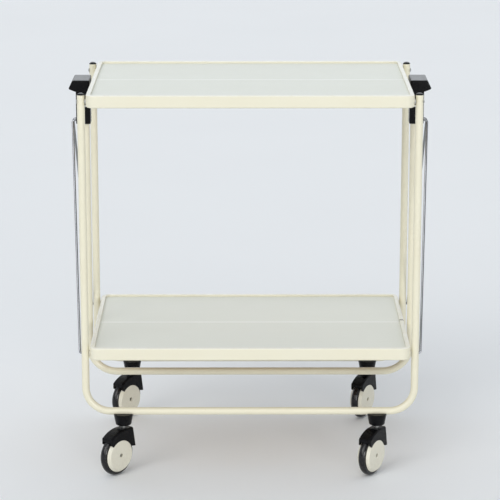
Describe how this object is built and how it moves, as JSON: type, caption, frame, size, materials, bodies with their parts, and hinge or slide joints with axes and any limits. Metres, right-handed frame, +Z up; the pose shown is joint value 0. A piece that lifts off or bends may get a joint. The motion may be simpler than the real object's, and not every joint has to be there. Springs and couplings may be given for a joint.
{
  "type": "folding serving trolley",
  "caption": "Folding tubular serving trolley: trays hinged along their centre line, chrome stay rods, lifting end handles and swivel casters.",
  "frame": {"origin": "on the floor, under the centre of the trays", "axes": "+X to the right along the trays, +Y from front to back across the fold line, +Z up"},
  "size_m": [0.65, 0.4022, 0.6926],
  "materials": {
    "cream_lacquer": "gloss lacquer on steel tube",
    "cream_rim": "smooth moulded rim",
    "laminate": "pale grey-green laminate on fibreboard",
    "black_plastic": "semi-matt moulding",
    "chrome": "bright plated wire",
    "steel": "zinc plated",
    "cream_cover": "moulded disc",
    "hub_plastic": "moulded core",
    "tyre_rubber": "smooth rubber"
  },
  "bodies": {
    "rear_frame": {"rear_frame_tube": "cream_lacquer", "rear_tube_caps": "black_plastic", "rear_upper_pivot_pins": "steel", "rear_left_caster_socket": "black_plastic", "rear_right_caster_socket": "black_plastic"},
    "upper_rear_half": {"upper_rear_rim": "cream_rim", "upper_rear_panel": "laminate", "upper_rear_hinge_leaves": "steel", "upper_hinge_pins": "steel"},
    "upper_front_half": {"upper_front_rim": "cream_rim", "upper_front_panel": "laminate", "upper_front_hinge_leaves": "steel"},
    "front_frame": {"front_frame_tube": "cream_lacquer", "front_tube_caps": "black_plastic", "front_upper_pivot_pins": "steel", "front_left_caster_socket": "black_plastic", "front_right_caster_socket": "black_plastic"},
    "lower_rear_half": {"lower_rear_rim": "cream_rim", "lower_rear_panel": "laminate", "lower_rear_hinge_leaves": "steel", "lower_hinge_pins": "steel"},
    "lower_front_half": {"lower_front_rim": "cream_rim", "lower_front_panel": "laminate", "lower_front_hinge_leaves": "steel"},
    "rear_stays": {"left_rear_stay": "chrome", "right_rear_stay": "chrome"},
    "front_stays": {"left_front_stay": "chrome", "right_front_stay": "chrome"},
    "lift_frame": {"lift_frame_tube": "cream_lacquer", "left_handle": "black_plastic", "right_handle": "black_plastic", "handle_cross_pins": "steel"},
    "front_left_caster_fork": {"front_left_caster_stem": "steel", "front_left_caster_hood": "black_plastic", "front_left_caster_covers": "cream_cover", "front_left_caster_axle": "steel"},
    "front_left_caster_wheel": {"front_left_caster_hub": "hub_plastic", "front_left_caster_tyre": "tyre_rubber"},
    "front_right_caster_fork": {"front_right_caster_stem": "steel", "front_right_caster_hood": "black_plastic", "front_right_caster_covers": "cream_cover", "front_right_caster_axle": "steel"},
    "front_right_caster_wheel": {"front_right_caster_hub": "hub_plastic", "front_right_caster_tyre": "tyre_rubber"},
    "rear_left_caster_fork": {"rear_left_caster_stem": "steel", "rear_left_caster_hood": "black_plastic", "rear_left_caster_covers": "cream_cover", "rear_left_caster_axle": "steel"},
    "rear_left_caster_wheel": {"rear_left_caster_hub": "hub_plastic", "rear_left_caster_tyre": "tyre_rubber"},
    "rear_right_caster_fork": {"rear_right_caster_stem": "steel", "rear_right_caster_hood": "black_plastic", "rear_right_caster_covers": "cream_cover", "rear_right_caster_axle": "steel"},
    "rear_right_caster_wheel": {"rear_right_caster_hub": "hub_plastic", "rear_right_caster_tyre": "tyre_rubber"}
  },
  "joints": [
    {"name": "fold", "type": "hinge", "parent": "rear_frame", "child": "upper_rear_half", "pos_m": [0, 0.1655, 0.677], "axis": [-1, 0, 0], "range_deg": [0, 72]},
    {"name": "upper_centre_hinge", "type": "hinge", "parent": "upper_rear_half", "child": "upper_front_half", "pos_m": [0, 0, 0.68], "axis": [1, 0, 0], "range_deg": [0, 144]},
    {"name": "front_frame_pivot", "type": "hinge", "parent": "upper_front_half", "child": "front_frame", "pos_m": [0, -0.1655, 0.677], "axis": [-1, 0, 0], "range_deg": [0, 72]},
    {"name": "lower_rear_pivot", "type": "hinge", "parent": "rear_frame", "child": "lower_rear_half", "pos_m": [0, 0.1655, 0.2228], "axis": [-1, 0, 0], "range_deg": [0, 72]},
    {"name": "lower_front_pivot", "type": "hinge", "parent": "front_frame", "child": "lower_front_half", "pos_m": [0, -0.1655, 0.2228], "axis": [1, 0, 0], "range_deg": [0, 72]},
    {"name": "rear_stay_pivot", "type": "hinge", "parent": "rear_frame", "child": "rear_stays", "pos_m": [0, 0.1655, 0.2228], "axis": [-1, 0, 0], "range_deg": [0, 16.44]},
    {"name": "lift_pivot", "type": "hinge", "parent": "rear_stays", "child": "lift_frame", "pos_m": [0, 0.007, 0.6145], "axis": [1, 0, 0], "range_deg": [0, 16.44]},
    {"name": "front_stay_pivot", "type": "hinge", "parent": "front_frame", "child": "front_stays", "pos_m": [0, -0.1655, 0.2228], "axis": [1, 0, 0], "range_deg": [0, 16.44]},
    {"name": "front_left_caster_swivel", "type": "hinge", "parent": "front_frame", "child": "front_left_caster_fork", "pos_m": [-0.2275, -0.1655, 0.0838], "axis": [0, 0, 1], "continuous": true},
    {"name": "front_left_caster_roll", "type": "hinge", "parent": "front_left_caster_fork", "child": "front_left_caster_wheel", "pos_m": [-0.23997, -0.17984, 0.0375], "axis": [-0.7547, 0.6561, 0], "continuous": true},
    {"name": "front_right_caster_swivel", "type": "hinge", "parent": "front_frame", "child": "front_right_caster_fork", "pos_m": [0.2275, -0.1655, 0.0838], "axis": [0, 0, 1], "continuous": true},
    {"name": "front_right_caster_roll", "type": "hinge", "parent": "front_right_caster_fork", "child": "front_right_caster_wheel", "pos_m": [0.21715, -0.18143, 0.0375], "axis": [-0.8387, 0.5446, 0], "continuous": true},
    {"name": "rear_left_caster_swivel", "type": "hinge", "parent": "rear_frame", "child": "rear_left_caster_fork", "pos_m": [-0.2275, 0.1655, 0.0838], "axis": [0, 0, 1], "continuous": true},
    {"name": "rear_left_caster_roll", "type": "hinge", "parent": "rear_left_caster_fork", "child": "rear_left_caster_wheel", "pos_m": [-0.2392, 0.15053, 0.0375], "axis": [-0.788, 0.6157, 0], "continuous": true},
    {"name": "rear_right_caster_swivel", "type": "hinge", "parent": "rear_frame", "child": "rear_right_caster_fork", "pos_m": [0.2275, 0.1655, 0.0838], "axis": [0, 0, 1], "continuous": true},
    {"name": "rear_right_caster_roll", "type": "hinge", "parent": "rear_right_caster_fork", "child": "rear_right_caster_wheel", "pos_m": [0.21786, 0.14913, 0.0375], "axis": [-0.8616, 0.5075, 0], "continuous": true}
  ],
  "couplings": [
    {"joint": "upper_centre_hinge", "follows": "fold", "ratio": 2},
    {"joint": "front_frame_pivot", "follows": "fold", "ratio": 1},
    {"joint": "lower_rear_pivot", "follows": "fold", "ratio": 1},
    {"joint": "lower_front_pivot", "follows": "fold", "ratio": 1},
    {"joint": "rear_stay_pivot", "follows": "fold", "ratio": 0.2281},
    {"joint": "lift_pivot", "follows": "fold", "ratio": 0.2281},
    {"joint": "front_stay_pivot", "follows": "fold", "ratio": 0.2281}
  ]
}
